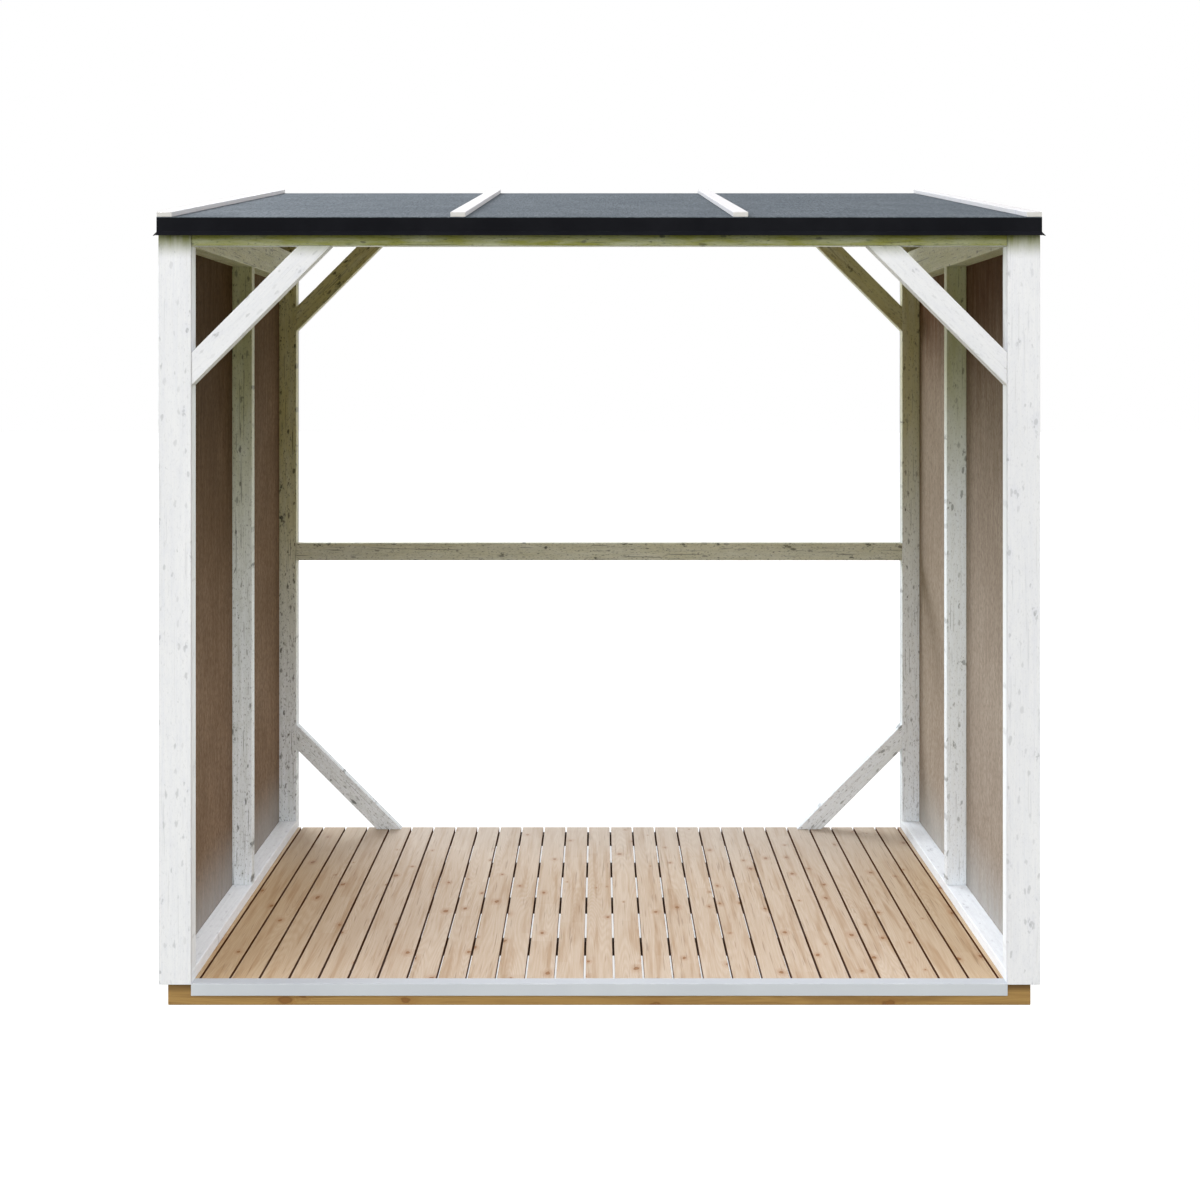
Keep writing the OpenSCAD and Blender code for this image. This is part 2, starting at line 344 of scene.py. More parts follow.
def make_edges_group():
    """Wear in patches along the eased edges, and the cut ends."""
    tree, use = new_group(
        "edges_and_ends",
        [("Grain", VECTOR, None), ("Edge Wear", FLOAT, 0.5)],
        ["Worn", "End"],
    )
    rub = ease_between(tree, noise(tree, use["Grain"], 22.0, 3.0, 0.65), 0.46, 0.64)
    worn = times(tree, times(tree, mask_of(tree, "arris"), rub), use["Edge Wear"])
    close_group(tree, Worn=worn, End=mask_of(tree, "end_grain"))
    return tree


def make_painted_light_ramp_group():
    """A blotchy ramp between two heights, full at and past the second, that lays painted shade, and
    painted sheen at the foot of the walls.

    It can follow the roof's slope, and be weaker on the faces that look to the rear, where the rear light
    falls.
    """
    tree, use = new_group(
        "shade_and_sheen_by_height",
        [
            ("Grain", VECTOR, None),
            ("Height From", FLOAT, 1.0),
            ("Height Full", FLOAT, 2.0),
            ("Follow Roof", FLOAT, 0.0),
            ("Rear Share", FLOAT, 1.0),
        ],
        ["Damp"],
    )
    parts = split(tree, place_of(tree))
    rise = times(tree, math_node(tree, "SUBTRACT", parts[1], FRONT_FACE_Y), math.tan(ROOF_PITCH))
    height = math_node(tree, "SUBTRACT", parts[2], times(tree, rise, use["Follow Roof"]))
    gathered = ease_between(tree, height, use["Height From"], use["Height Full"])
    kept = add_node(
        tree,
        "ShaderNodeMix",
        {"Factor": rearward(tree), "A": 1.0, "B": use["Rear Share"]},
        data_type="FLOAT",
    ).outputs["Result"]
    blotch = drawn_noise(tree, use["Grain"], (34.0, 34.0, 5.0), 3.0, 0.6)
    blotched = stretch(tree, blotch, 0.25, 0.60, 0.70, 1.0)
    close_group(tree, Damp=times(tree, times(tree, gathered, kept), blotched))
    return tree


SOFTWOOD = make_softwood_group()
EDGES = make_edges_group()
PAINTED_LIGHT_RAMP = make_painted_light_ramp_group()


# Finishes


def start_finish(name, specular, metallic=0.0):
    made = bpy.data.materials.new(name)
    made.use_nodes = True
    tree = made.node_tree
    shader = tree.nodes["Principled BSDF"]
    shader.inputs["Metallic"].default_value = metallic
    shader.inputs["Specular IOR Level"].default_value = specular
    return made, tree, shader


def end_finish(tree, shader, colour, rough_by, rough, relief, strength, depth):
    """Links a finish's colour, its roughness between two values, and its fine relief."""
    tree.links.new(colour, shader.inputs["Base Color"])
    tree.links.new(stretch(tree, rough_by, *NOISE_BETWEEN, *rough), shader.inputs["Roughness"])
    bump = add_node(tree, "ShaderNodeBump", {"Height": relief, "Strength": strength, "Distance": depth})
    tree.links.new(bump.outputs["Normal"], shader.inputs["Normal"])


def timber_relief(tree, wood, ring_height):
    """Raised fibres and rings, with the checks sunk in."""
    relief = math_node(tree, "SUBTRACT", wood["Fibre"], times(tree, wood["Check"], 0.8))
    return math_node(tree, "ADD", relief, times(tree, wood["Ring"], ring_height))


def edge_wear(tree, grain, amount):
    return place_group(tree, EDGES, {"Grain": grain, "Edge Wear": amount})


def painted_light_between(tree, grain, heights, follow_roof=0.0, rear_share=1.0):
    """The ramp of painted shade and painted sheen, from the first of two heights to the second."""
    values = {
        "Grain": grain,
        "Height From": heights[0],
        "Height Full": heights[1],
        "Follow Roof": follow_roof,
        "Rear Share": rear_share,
    }
    return place_group(tree, PAINTED_LIGHT_RAMP, values)["Damp"]


PAINTED_WOOD = {
    "Ring Count": 24.0,
    "Knot Spacing": 10.0,
    "Knot Size": 0.070,
    "Knot Share": 0.75,
    "Speck Share": 0.8,
}
RUBBED_PAINT = (0.62, 0.60, 0.54)
PAINTED_END = (0.55, 0.53, 0.47)


def make_white_paint(
    name, tint, smudge, speck, strength, shade_tint=None, heights=None, follow_roof=0.0, rear_share=1.0,
    flanks_only=False,
):
    """Thin white paint on planed softwood: knots and fine checks show through, and a painted olive shade
    darkens it between two heights.

    The strength is how much of the timber shows. The shade tint is a painted shade, laid between the
    heights.
    """
    made, tree, shader = start_finish(name, specular=0.4)
    grain = grain_of(tree)
    wood = place_group(tree, SOFTWOOD, {"Grain": grain, **PAINTED_WOOD})
    edges = edge_wear(tree, grain, 0.25)
    mottle = drawn_noise(tree, grain, (75.0, 75.0, 26.0), 3.0, 0.65)
    mould = drawn_noise(tree, grain, (210.0, 210.0, 85.0), 2.0, 0.65)
    faint = strength * strength
    dim = tuple(c * 0.94 for c in tint)
    paint = layered(
        tree,
        tint,
        [
            (stretch(tree, wood["Patch"], 0.35, 0.65), dim),
            (stretch(tree, wood["Streak"], 0.45, 0.72, 0.0, 0.60 * strength), smudge),
            (stretch(tree, wood["Fibre"], 0.45, 0.80, 0.0, 0.35 * strength), smudge),
            (times(tree, wood["Ring"], 0.16 * strength), smudge),
            (stretch(tree, mottle, 0.46, 0.72, 0.0, 0.60 * strength), smudge),
            (times(tree, wood["Halo"], 0.60 * strength), smudge),
            (stretch(tree, mould, 0.56, 0.76, 0.0, 0.90 * faint), speck),
            (times(tree, wood["Check"], 0.60 * faint), speck),
            (times(tree, wood["Speck"], 0.80 * strength), speck),
            (times(tree, wood["Knot"], 0.70 * strength), speck),
            (edges["Worn"], RUBBED_PAINT),
            (times(tree, edges["End"], 0.15), PAINTED_END),
        ],
    )
    # Painted shade: the paint is multiplied darker and olive between the heights, only on the flanks
    # where asked.
    if shade_tint:
        painted_shade = painted_light_between(tree, grain, heights, follow_roof, rear_share)
        if flanks_only:
            painted_shade = times(tree, painted_shade, mask_of(tree, "flank"))
        paint = mix_colour(tree, painted_shade, paint, shade_tint, "MULTIPLY")
    relief = timber_relief(tree, wood, 0.5)
    end_finish(tree, shader, paint, wood["Fibre"], (0.42, 0.60), relief, 0.25, 0.0006)
    return made


GAP_SHADE = (0.112, 0.029, 0.001)
PAINTED_SHADOW_TINT = (0.38, 0.34, 0.26)
DECK_MIDDLE_X = 0.08
BY_WALLS_BETWEEN = (0.70, 1.33)
REAR_SHEEN_BETWEEN = (0.0, 0.9)
REAR_SHEEN_SHARE = 0.30


def make_bare_wood(
    name, pale, deep, knot, worn, spacing, size=0.085, share=0.55, specular=0.3, staves=0.0, gap_shade=0.0,
    by_walls=None, rear_sheen=None, shadow_heights=None, underside_shade=None,
):
    """Bare planed softwood with coloured knots and lengthwise streaks of deeper heartwood.

    Staves are short lengths of their own tone. Near the walls the deck is darkened and warmed as painted
    shade, and to the rear it is paled as a painted sheen.
    The last two are a pair of heights between which a painted shadow darkens its top, and a tint of
    painted shade for the faces away from the rear.
    """
    made, tree, shader = start_finish(name, specular)
    grain = grain_of(tree)
    knots = {"Knot Spacing": spacing, "Knot Size": size, "Knot Share": share, "Speck Share": 0.25}
    wood = place_group(tree, SOFTWOOD, {"Grain": grain, "Ring Count": 46.0, **knots})
    edges = edge_wear(tree, grain, 0.5)
    dark_knot = tuple(c * 0.45 for c in knot)
    heart = ease_between(tree, drawn_noise(tree, grain, (40.0, 40.0, 2.2), 2.5, 0.55), 0.46, 0.70)
    tone = math_node(tree, "MULTIPLY_ADD", heart, 0.66, times(tree, mask_of(tree, "board_tone"), 0.14))
    if staves:
        lengths = vector_scale(tree, grain, (24.0, 0.0, 2.6))
        cell = add_node(tree, "ShaderNodeVectorMath", {0: lengths}, operation="FLOOR").outputs[0]
        stave = add_node(tree, "ShaderNodeTexWhiteNoise", {"Vector": cell}).outputs["Value"]
        tone = math_node(tree, "MULTIPLY_ADD", stave, staves, tone)
    timber = layered(
        tree,
        pale,
        [
            (tone, deep),
            (times(tree, wood["Ring"], 0.30), deep),
            (stretch(tree, wood["Streak"], 0.45, 0.75, 0.0, 0.45), pale),
            (stretch(tree, wood["Fibre"], 0.40, 0.80, 0.0, 0.30), deep),
            (times(tree, wood["Halo"], 0.36), knot),
            (times(tree, wood["Knot"], 0.85), knot),
            (times(tree, wood["Rim"], 0.85), dark_knot),
            (times(tree, wood["Check"], 0.35), dark_knot),
            (edges["Worn"], worn),
            (times(tree, edges["End"], 0.35), dark_knot),
        ],
    )
    if by_walls:
        # Painted shade: the deck darkens and warms towards the walls.
        parts = split(tree, place_of(tree))
        off_middle = math_node(tree, "ABSOLUTE", math_node(tree, "SUBTRACT", parts[0], DECK_MIDDLE_X))
        outward = ease_between(tree, off_middle, *BY_WALLS_BETWEEN)
        timber = mix_colour(tree, outward, timber, by_walls, "MULTIPLY")
        # Painted sheen: the deck pales towards the rear, in the place of the cool rear light's sheen.
        rear_sheen_mask = times(tree, ease_between(tree, parts[1], *REAR_SHEEN_BETWEEN), REAR_SHEEN_SHARE)
        timber = mix_colour(tree, rear_sheen_mask, timber, rear_sheen)
    # Painted shade: the board sides in the gaps between deck boards are darkened to a deep brown.
    if gap_shade:
        timber = mix_colour(tree, times(tree, mask_of(tree, "flank"), gap_shade), timber, GAP_SHADE)
    # Painted shadow: the bearers darken at their tops, under the corner boards.
    if shadow_heights:
        timber = mix_colour(tree, painted_light_between(tree, grain, shadow_heights), timber, PAINTED_SHADOW_TINT, "MULTIPLY")
    # Painted shade: all faces but those open to the rear are darkened, as shade under the deck.
    if underside_shade:
        away_from_rear = math_node(tree, "SUBTRACT", 1.0, rearward(tree))
        timber = mix_colour(tree, away_from_rear, timber, underside_shade, "MULTIPLY")
    relief = timber_relief(tree, wood, 0.6)
    end_finish(tree, shader, timber, wood["Fibre"], (0.48, 0.70), relief, 0.35, 0.0008)
    return made


PAINTED_FOOT_SHEEN = (0.42, 0.43, 0.43)
DARKENS_BETWEEN = (0.7, 2.05)
UNDER_ROOF_BETWEEN = (1.70, 2.25)
FOOT_SHEEN_BETWEEN = (0.36, 0.12)
FOOT_SHEEN_SHARE = 0.55
REAR_HALF_BETWEEN = (-0.1, 0.3)
REAR_SHADE_CUT = 0.4


def make_brown_board(name, pale, deep, fleck, upward, under_roof, by_rear):
    """Smooth brown sheathing board with a fine upright mottle.

    The last three are tints of painted light: painted shade upwards and more close under the roof, and a
    lighter tint in the rear half, where the rear light reaches.
    """
    made, tree, shader = start_finish(name, specular=0.01)
    grain = grain_of(tree)
    streak = drawn_noise(tree, grain, (70.0, 70.0, 5.0), 3.0, 0.6)
    mottle = drawn_noise(tree, grain, (150.0, 150.0, 70.0), 2.0, 0.6)
    cloud = noise(tree, grain, 2.2, 3.0, 0.55)
    edges = edge_wear(tree, grain, 0.5)
    colour = layered(
        tree,
        pale,
        [
            (stretch(tree, cloud, 0.35, 0.65), deep),
            (stretch(tree, streak, 0.38, 0.72, 0.0, 0.55), fleck),
            (stretch(tree, mottle, 0.40, 0.68, 0.0, 0.85), fleck),
            (edges["Worn"], pale),
        ],
    )
    # Painted shade: the board darkens upwards and again close under the roof, less so in the rear half.
    rear_half = ease_between(tree, split(tree, place_of(tree))[1], *REAR_HALF_BETWEEN)
    painted_shade = painted_light_between(tree, grain, DARKENS_BETWEEN)
    shade_kept = times(tree, painted_shade, math_node(tree, "MULTIPLY_ADD", rear_half, -REAR_SHADE_CUT, 1.0))
    colour = mix_colour(tree, shade_kept, colour, upward, "MULTIPLY")
    painted_shade = painted_light_between(tree, grain, UNDER_ROOF_BETWEEN)
    colour = mix_colour(tree, painted_shade, colour, under_roof, "MULTIPLY")
    # Painted reflection: the foot of the board is paled to a bluish grey, in the place of the white
    # plate's reflection.
    dust_and_sheen = painted_light_between(tree, grain, FOOT_SHEEN_BETWEEN)
    colour = mix_colour(tree, times(tree, dust_and_sheen, FOOT_SHEEN_SHARE), colour, PAINTED_FOOT_SHEEN)
    # Painted light: the rear half is tinted lighter.
    colour = mix_colour(tree, rear_half, colour, by_rear, "MULTIPLY")
    relief = math_node(tree, "ADD", mottle, times(tree, streak, 0.4))
    end_finish(tree, shader, colour, cloud, (0.55, 0.68), relief, 0.2, 0.0005)
    return made


def make_roofing_felt():
    """Mineral granules pressed into bitumen felt."""
    made, tree, shader = start_finish("roofing_felt", specular=0.2)
    grain = grain_of(tree)
    chips = add_node(
        tree, "ShaderNodeTexVoronoi", {"Vector": grain, "Scale": 420.0, "Randomness": 1.0}
    ).outputs
    chip_tone = add_node(tree, "ShaderNodeSeparateColor", {0: chips["Color"]}).outputs[0]
    cloud = noise(tree, grain, 5.0, 4.0, 0.6)
    run = drawn_noise(tree, grain, (26.0, 26.0, 1.2), 3.0, 0.6)
    clump = drawn_noise(tree, grain, (190.0, 190.0, 22.0), 2.0, 0.7)
    edges = edge_wear(tree, grain, 0.8)
    dark_chip = (0.023, 0.030, 0.038)
    colour = layered(
        tree,
        dark_chip,
        [
            (chip_tone, (0.045, 0.056, 0.066)),
            (stretch(tree, clump, 0.38, 0.66, 0.0, 0.95), (0.098, 0.116, 0.133)),
            (ease_between(tree, chip_tone, 0.90, 0.97), (0.15, 0.17, 0.19)),
            (stretch(tree, cloud, 0.35, 0.70, 0.0, 0.35), (0.040, 0.050, 0.060)),
            (stretch(tree, run, 0.45, 0.75, 0.0, 0.30), (0.062, 0.075, 0.087)),
            (edges["Worn"], (0.022, 0.024, 0.028)),
        ],
    )
    end_finish(tree, shader, colour, cloud, (0.82, 0.95), chips["Distance"], 0.6, 0.0010)
    return made


def make_black_metal():
    """Satin black coated sheet with a faint orange-peel and a little dust."""
    made, tree, shader = start_finish("black_metal", specular=0.04)
    place = place_of(tree)
    peel = noise(tree, place, 600.0, 1.0)
    dust_and_sheen = noise(tree, place, 6.0, 4.0, 0.6)
    edges = edge_wear(tree, place, 0.5)
    clean_black = (0.0040, 0.0042, 0.0058)
    colour = layered(
        tree,
        clean_black,
        [
            (stretch(tree, dust_and_sheen, 0.40, 0.75), (0.0078, 0.0082, 0.0105)),
            (edges["Worn"], (0.030, 0.031, 0.034)),
        ],
    )
    end_finish(tree, shader, colour, dust_and_sheen, (0.38, 0.56), peel, 0.08, 0.0004)
    return made


def make_pale_metal():
    """Smooth satin aluminium with faint lengthwise drawing lines."""
    made, tree, shader = start_finish("pale_metal", specular=0.5, metallic=0.15)
    place = place_of(tree)
    lines = drawn_noise(tree, place, (2.0, 900.0, 900.0), 2.0, 0.6)
    cloud = noise(tree, place, 4.0, 3.0, 0.6)
    edges = edge_wear(tree, place, 0.6)
    dull_grey = (0.458, 0.478, 0.512)
    colour = layered(
        tree,
        dull_grey,
        [
            (stretch(tree, cloud, *NOISE_BETWEEN), (0.500, 0.520, 0.550)),
            (stretch(tree, lines, 0.45, 0.80, 0.0, 0.25), (0.45, 0.465, 0.485)),
            (edges["Worn"], (0.74, 0.75, 0.76)),
        ],
    )
    end_finish(tree, shader, colour, cloud, (0.46, 0.54), lines, 0.06, 0.0002)
    return made


PALE_SMUDGE = (0.580, 0.585, 0.650)
GREEN_SMUDGE = (0.640, 0.680, 0.670)
# Painted light: a lighter smudge for the right-hand timbers, which more light reaches.
LIT_SIDE_SMUDGE = (0.76, 0.79, 0.79)
PALE_SPECK = (0.24, 0.24, 0.26)
DARK_SPECK = (0.035, 0.040, 0.034)
# Painted light: the one white paint comes in copies whose tints differ where light differs: brighter and
# bluer for the shaded inner timbers, brighter still for plates and front studs, greyer for the battens.
STUD_TINT = (0.905, 0.952, 1.000)
REAR_TINT = (0.900, 0.942, 0.990)
# Painted shade: inner timbers are tinted darker and olive from the first height to the second, where the
# roof shades them.
INNER_BETWEEN = (0.9, 1.95)
# Painted light: the painted shade is weaker on faces that look to the rear, which the rear light reaches.
REAR_FACE_SHARE = 0.45

# Painted shadow: an olive band darkens the outer paint just under the roof edge, following its slope, in
# the place of the drip edge's shadow.
OUTER_WHITE = make_white_paint(
    "outer_white_paint", (0.722, 0.716, 0.744), PALE_SMUDGE, PALE_SPECK, 0.50,
    (0.19, 0.205, 0.045), (2.236, 2.306), follow_roof=1.0,
)
# Painted shade: a greyer copy of the white paint, for the battens' strongly lit tops.
BATTEN_WHITE = make_white_paint(
    "batten_white_paint", (0.548, 0.527, 0.514), PALE_SMUDGE, PALE_SPECK, 0.30
)
# Painted light: a brighter copy of the white paint, for the shaded plates and front studs.
PLATE_WHITE = make_white_paint(
    "plate_white_paint", (0.940, 0.970, 1.000), PALE_SMUDGE, PALE_SPECK, 0.35
)
# Painted shadow: the front beam's faces are darkened olive under the drip edge.
BEAM_WHITE = make_white_paint(
    "beam_white_paint", (0.790, 0.800, 0.810), GREEN_SMUDGE, DARK_SPECK, 0.90,
    (0.235, 0.235, 0.035), (2.400, 2.315), flanks_only=True,
)
INNER_WHITE = make_white_paint(
    "inner_white_paint", (0.905, 0.940, 0.975), GREEN_SMUDGE, DARK_SPECK, 0.95,
    (0.74, 0.72, 0.48), INNER_BETWEEN,
)
LEFT_STUD_WHITE = make_white_paint(
    "left_stud_white_paint", STUD_TINT, GREEN_SMUDGE, DARK_SPECK, 0.95,
    (0.70, 0.67, 0.43), INNER_BETWEEN,
)
# Painted light: the right-hand studs and rear timbers are lighter copies of the left-hand ones.
RIGHT_STUD_WHITE = make_white_paint(
    "right_stud_white_paint", STUD_TINT, LIT_SIDE_SMUDGE, DARK_SPECK, 0.72,
    (0.62, 0.60, 0.36), (1.40, 2.02),
)
LEFT_REAR_WHITE = make_white_paint(
    "left_rear_white_paint", REAR_TINT, GREEN_SMUDGE, DARK_SPECK, 1.00,
    (0.73, 0.66, 0.37), (0.50, 1.65), rear_share=REAR_FACE_SHARE,
)
RIGHT_REAR_WHITE = make_white_paint(
    "right_rear_white_paint", STUD_TINT, LIT_SIDE_SMUDGE, DARK_SPECK, 0.80,
    (0.72, 0.66, 0.40), INNER_BETWEEN, rear_share=REAR_FACE_SHARE,
)

DECK_PINE = make_bare_wood(
    "deck_pine", (0.577, 0.479, 0.382), (0.401, 0.274, 0.173), (0.34, 0.165, 0.070), (0.56, 0.46, 0.36),
    spacing=8.5, size=0.080, share=0.75, specular=0.08, staves=0.24, gap_shade=0.97,
    by_walls=(0.92, 0.83, 0.650), rear_sheen=(0.52, 0.50, 0.47),
)
ROOF_PINE = make_bare_wood(
    "roof_pine", (0.52, 0.40, 0.25), (0.40, 0.26, 0.13), (0.28, 0.14, 0.06), (0.55, 0.43, 0.30),
    spacing=6.0,
)
TREATED_TONES = ((0.350, 0.213, 0.070), (0.190, 0.102, 0.031), (0.23, 0.100, 0.022), (0.32, 0.21, 0.09))
TREATED_KNOTS = {"spacing": 8.0, "size": 0.11, "share": 0.5}
TREATED = make_bare_wood("treated_timber", *TREATED_TONES, **TREATED_KNOTS, shadow_heights=(0.034, 0.054))
JOIST_TREATED = make_bare_wood(
    "joist_treated_timber", *TREATED_TONES, **TREATED_KNOTS, underside_shade=(0.135, 0.098, 0.098)
)

# Painted light: the left and right walls are one board in darker and paler copies; the right one's paler
# tone stands in for more light and a sheen on that wall.
LEFT_BOARD = make_brown_board(
    "left_brown_board", (0.288, 0.199, 0.134), (0.247, 0.169, 0.113), (0.143, 0.094, 0.058),
    upward=(0.40, 0.345, 0.25), under_roof=(1.0, 1.0, 1.0), by_rear=(1.03, 1.03, 1.03),
)
RIGHT_BOARD = make_brown_board(
    "right_brown_board", (0.410, 0.347, 0.287), (0.367, 0.306, 0.252), (0.240, 0.191, 0.149),
    upward=(0.59, 0.535, 0.47), under_roof=(0.42, 0.26, 0.17), by_rear=(1.13, 1.11, 1.08),
)
ROOFING_FELT = make_roofing_felt()
BLACK_METAL = make_black_metal()
PALE_METAL = make_pale_metal()


# Pieces remade from the construction with eased edges


def lumps_of(bm):
    """The connected lumps of a mesh, each a list of vertices, from left to right and front to rear."""
    seen = set()
    lumps = []
    for start in bm.verts:
        if start in seen:
            continue
        lump = []
        to_visit = [start]
        seen.add(start)
        while to_visit:
            v = to_visit.pop()
            lump.append(v)
            for edge in v.link_edges:
                other = edge.other_vert(v)
                if other not in seen:
                    seen.add(other)
                    to_visit.append(other)
        lumps.append(lump)
    return sorted(lumps, key=lambda vs: (round(min(v.co.x for v in vs), 4), min(v.co.y for v in vs)))


def ease_edges(bm, ease):
    """Rounds every sharp edge and returns the new faces."""
    sharp = [e for e in bm.edges if len(e.link_faces) == 2 and e.calc_face_angle(0) > SHARP_FROM]
    eased = bmesh.ops.bevel(
        bm, geom=sharp, offset=ease, offset_type="OFFSET", segments=2, profile=0.5, affect="EDGES",
        clamp_overlap=True,
    )
    return eased["faces"]


def dressed(node, fibres, ease, finish):
    """A node's own shape with eased edges, and the grain and masks that its finish reads."""
    dice = random.Random(node)
    bm = bmesh.new()
    bm.from_mesh(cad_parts[node].data)
    bmesh.ops.remove_doubles(bm, verts=bm.verts, dist=WELD_DISTANCE)
    bmesh.ops.dissolve_limit(bm, angle_limit=FLAT_WITHIN, verts=bm.verts, edges=bm.edges)
    arris = bm.faces.layers.float.new("arris")
    end_grain = bm.faces.layers.float.new("end_grain")
    flank = bm.faces.layers.float.new("flank")
    tone = bm.verts.layers.float.new("board_tone")
    grain = bm.verts.layers.float_vector.new("grain")
    for face in ease_edges(bm, ease):
        face[arris] = 1.0
    for face in bm.faces:
        face.normal_update()
        if abs(face.normal.dot(fibres)) > END_FACING:
            face[end_grain] = 1.0
    side = fibres.cross(UP) if abs(fibres.dot(UP)) < UPRIGHT_FROM else ACROSS
    side = side.normalized()
    other = fibres.cross(side).normalized()
    for lump in lumps_of(bm):
        low = Vector([min(v.co[i] for v in lump) for i in range(3)])
        high = Vector([max(v.co[i] for v in lump) for i in range(3)])
        middle = (low + high) / 2
        spread_side = max(abs((v.co - middle).dot(side)) for v in lump)
        spread_other = max(abs((v.co - middle).dot(other)) for v in lump)
        wide, thin = (side, other) if spread_side >= spread_other else (other, side)
        offset = Vector([dice.uniform(-GRAIN_SCATTER, GRAIN_SCATTER) for _ in range(3)])
        lump_tone = dice.random()
        for face in {face for v in lump for face in v.link_faces}:
            if abs(face.normal.dot(side)) > FLANK_FACING:
                face[flank] = 1.0
        for v in lump:
            place = v.co - middle
            v[grain] = Vector((place.dot(wide), place.dot(thin), place.dot(fibres))) + offset
            v[tone] = lump_tone
    mesh = bpy.data.meshes.new(node + "_dressed")
    bm.to_mesh(mesh)
    bm.free()
    mesh.materials.append(finish)
    piece = bpy.data.objects.new(node + "_dressed", mesh)
    bpy.context.scene.collection.objects.link(piece)
    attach(piece, "root")
    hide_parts(node)


WALLS = (
    ("left", LEFT_STUD_WHITE, LEFT_REAR_WHITE, LEFT_BOARD),
    ("right", RIGHT_STUD_WHITE, RIGHT_REAR_WHITE, RIGHT_BOARD),
)
for hand, stud_paint, rear_paint, wall_board in WALLS:
    dressed(hand + "_bearer", INTO, TIMBER_EASE, TREATED)
    dressed(hand + "_bottom_plate", INTO, TIMBER_EASE, PLATE_WHITE)
    dressed(hand + "_front_stud", UP, TIMBER_EASE, PLATE_WHITE)
    dressed(hand + "_mid_stud", UP, TIMBER_EASE, stud_paint)
    dressed(hand + "_rear_post", UP, TIMBER_EASE, rear_paint)
    dressed(hand + "_wall_head", INTO, TIMBER_EASE, INNER_WHITE)
    dressed(hand + "_sheathing", UP, SHEET_EASE, wall_board)
    dressed(hand + "_cladding", UP, THIN_EASE, OUTER_WHITE)
    dressed(hand + "_front_corner_board", UP, BOARD_EASE, OUTER_WHITE)
    dressed(hand + "_rear_corner_board", UP, BOARD_EASE, OUTER_WHITE)
    dressed(hand + "_batten", ALONG_ROOF, BOARD_EASE, BATTEN_WHITE)
    dressed(hand + "_edge_batten", ALONG_ROOF, BOARD_EASE, BATTEN_WHITE)

dressed("front_bearer", ACROSS, TIMBER_EASE, TREATED)
dressed("deck_joists", ACROSS, TIMBER_EASE, JOIST_TREATED)
dressed("deck_boards", INTO, DECK_EASE, DECK_PINE)
dressed("front_beam", ACROSS, TIMBER_EASE, BEAM_WHITE)
dressed("rear_beam", ACROSS, TIMBER_EASE, LEFT_REAR_WHITE)
dressed("rear_rail", ACROSS, TIMBER_EASE, LEFT_REAR_WHITE)
dressed("front_left_brace", RISING_RIGHT, TIMBER_EASE, OUTER_WHITE)
dressed("front_right_brace", RISING_LEFT, TIMBER_EASE, OUTER_WHITE)
dressed("rear_upper_left_brace", RISING_RIGHT, TIMBER_EASE, LEFT_REAR_WHITE)
dressed("rear_upper_right_brace", RISING_LEFT, TIMBER_EASE, RIGHT_REAR_WHITE)
dressed("rear_lower_left_brace", RISING_LEFT, TIMBER_EASE, LEFT_REAR_WHITE)
dressed("rear_lower_right_brace", RISING_RIGHT, TIMBER_EASE, RIGHT_REAR_WHITE)
dressed("rafters", ALONG_ROOF, TIMBER_EASE, INNER_WHITE)
dressed("roof_boards", ACROSS, THIN_EASE, ROOF_PINE)
dressed("roof_felt", ALONG_ROOF, SHEET_EASE, ROOFING_FELT)
dressed("threshold_angle", ACROSS, THIN_EASE, PALE_METAL)
for edge_name, way in (("front", ACROSS), ("rear", ACROSS), ("left", ALONG_ROOF), ("right", ALONG_ROOF)):
    dressed(edge_name + "_drip_edge", way, FOLD_EASE, BLACK_METAL)


# Floor, light and camera


def shows_ground(tree):
    """One for the rays that see the white ground: from the view, off gloss and through clear stuff."""
    path = add_node(tree, "ShaderNodeLightPath").outputs
    seen = math_node(tree, "MAXIMUM", path["Is Camera Ray"], path["Is Glossy Ray"])
    return math_node(tree, "MAXIMUM", seen, path["Is Transmission Ray"])


def shown_or_lit(tree, lit, shown, end_kind):
    """Ends a tree that gives one shader to the rays that see the ground, and another to the rest."""
    both = add_node(tree, "ShaderNodeMixShader", {0: shows_ground(tree), 1: lit, 2: shown})
    end = add_node(tree, end_kind)
    tree.links.new(both.outputs[0], end.inputs["Surface"])


def make_floor():
    """A floor that shows white to the view and keeps the store's shadow."""
    bm = bmesh.new()
    bmesh.ops.create_grid(bm, x_segments=1, y_segments=1, size=GROUND_SIZE)
    mesh = bpy.data.meshes.new("floor")
    bm.to_mesh(mesh)
    bm.free()
    made = bpy.data.materials.new("pale_floor")
    made.use_nodes = True
    tree = made.node_tree
    tree.nodes.clear()
    bounce = add_node(tree, "ShaderNodeBsdfDiffuse", {"Color": GROUND_BOUNCE})
    lit = add_node(tree, "ShaderNodeBsdfDiffuse", {"Color": GROUND_LIT})
    glow = add_node(tree, "ShaderNodeEmission", {"Color": GROUND_WHITE, "Strength": GROUND_GLOW})
    white = add_node(tree, "ShaderNodeAddShader", {0: lit.outputs[0], 1: glow.outputs[0]})
    shown_or_lit(tree, bounce.outputs[0], white.outputs[0], "ShaderNodeOutputMaterial")
    mesh.materials.append(made)
    floor = bpy.data.objects.new("floor", mesh)
    floor.location.z = GROUND_LEVEL
    bpy.context.scene.collection.objects.link(floor)


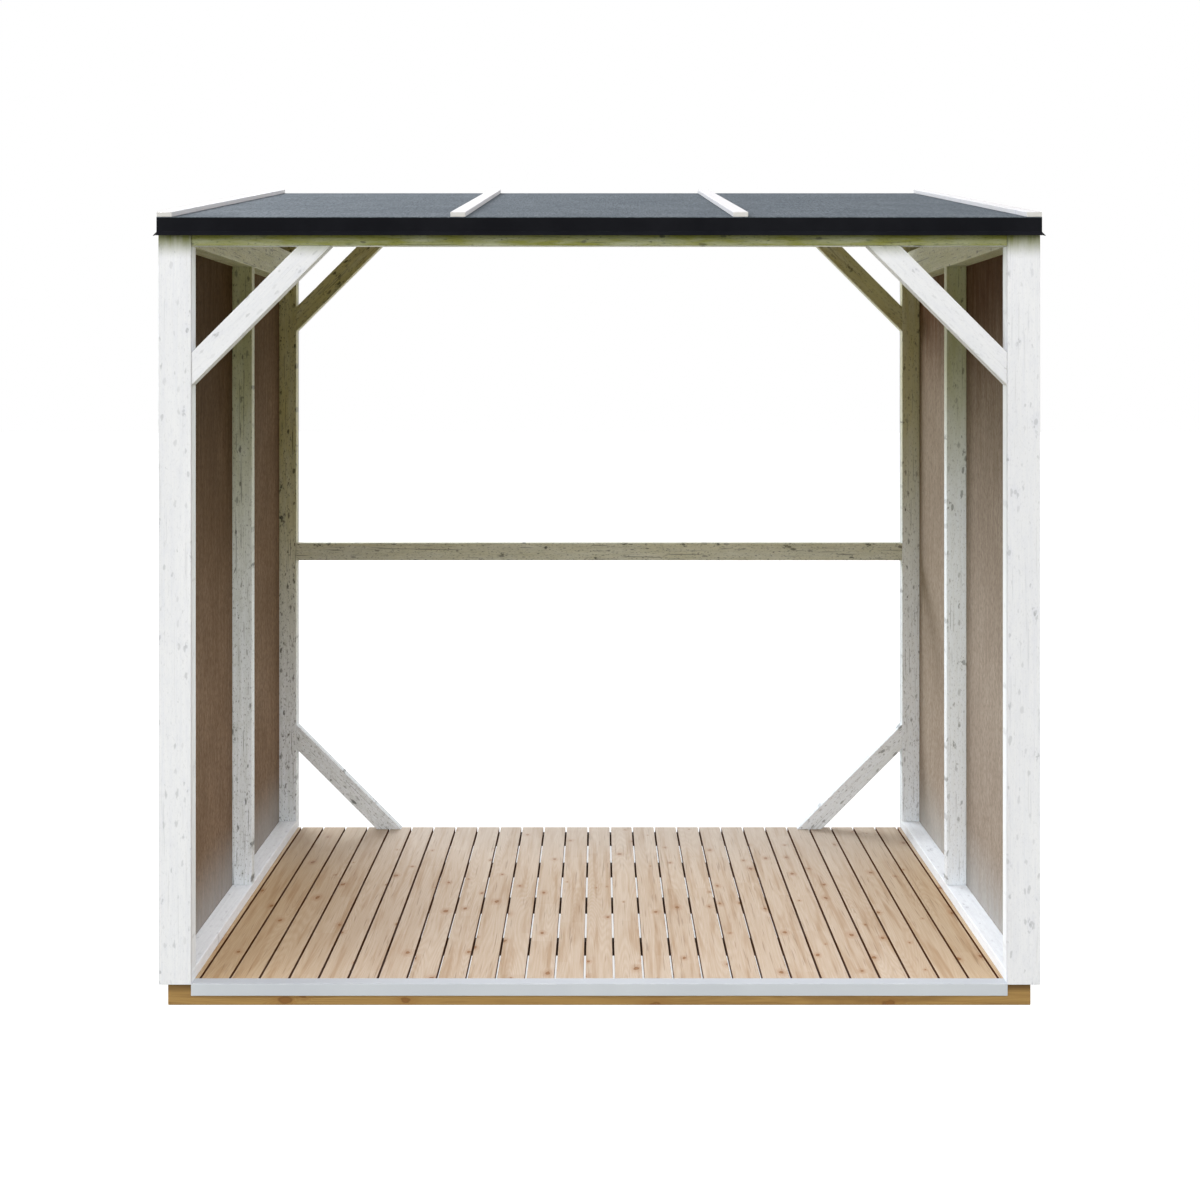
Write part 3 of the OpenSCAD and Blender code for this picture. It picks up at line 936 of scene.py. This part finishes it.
def make_sky():
    """Soft light from an overcast sky over a dim garden, white where the view sees it."""
    world = bpy.data.worlds.new("soft_sky")
    bpy.context.scene.world = world
    world.use_nodes = True
    tree = world.node_tree
    tree.nodes.clear()
    parts = split(tree, add_node(tree, "ShaderNodeTexCoord").outputs["Generated"])
    to_right = ease_between(tree, parts[0], -0.35, 0.35)
    to_rear = ease_between(tree, parts[1], -0.25, 0.25)

    def around(level):
        ahead = mix_colour(tree, to_right, level["front_left"], level["front_right"])
        behind = mix_colour(tree, to_right, level["rear_left"], level["rear_right"])
        return mix_colour(tree, to_rear, ahead, behind)

    glow = mix_colour(tree, ease_between(tree, parts[2], 0.25, 0.50), around(LOW_SKY), around(HIGH_SKY))
    glow = mix_colour(tree, ease_between(tree, parts[2], 0.72, 0.92), glow, ZENITH_SKY)
    light = add_node(tree, "ShaderNodeBackground", {"Color": glow, "Strength": 1.0})
    white = add_node(tree, "ShaderNodeBackground", {"Color": GROUND_WHITE, "Strength": 1.0})
    shown_or_lit(tree, light.outputs[0], white.outputs[0], "ShaderNodeOutputWorld")


def make_lamp(name, place, aim, size, power, colour):
    data = bpy.data.lights.new(name, "AREA")
    data.shape = "RECTANGLE"
    data.size, data.size_y = size
    data.energy = power
    data.color = colour
    lamp = bpy.data.objects.new(name, data)
    lamp.location = place
    lamp.rotation_mode = "QUATERNION"
    lamp.rotation_quaternion = (Vector(aim) - Vector(place)).to_track_quat("-Z", "Y")
    lamp.visible_camera = False
    bpy.context.scene.collection.objects.link(lamp)


def make_camera():
    data = bpy.data.cameras.new("front_view")
    data.lens = VIEW_LENS
    data.sensor_width = VIEW_SENSOR
    data.shift_x = SIDE_SHIFT
    data.shift_y = HORIZON_SHIFT
    data.clip_end = VIEW_REACH
    camera = bpy.data.objects.new("front_view", data)
    camera.location = (0.0, FRONT_FACE_Y - VIEW_DISTANCE, VIEW_HEIGHT)
    camera.rotation_euler = (math.radians(90.0), 0.0, 0.0)
    bpy.context.scene.collection.objects.link(camera)
    bpy.context.scene.camera = camera


make_floor()
make_sky()
for lamp_values in LAMPS:
    make_lamp(*lamp_values)
make_camera()

bpy.context.scene.view_settings.view_transform = "Standard"
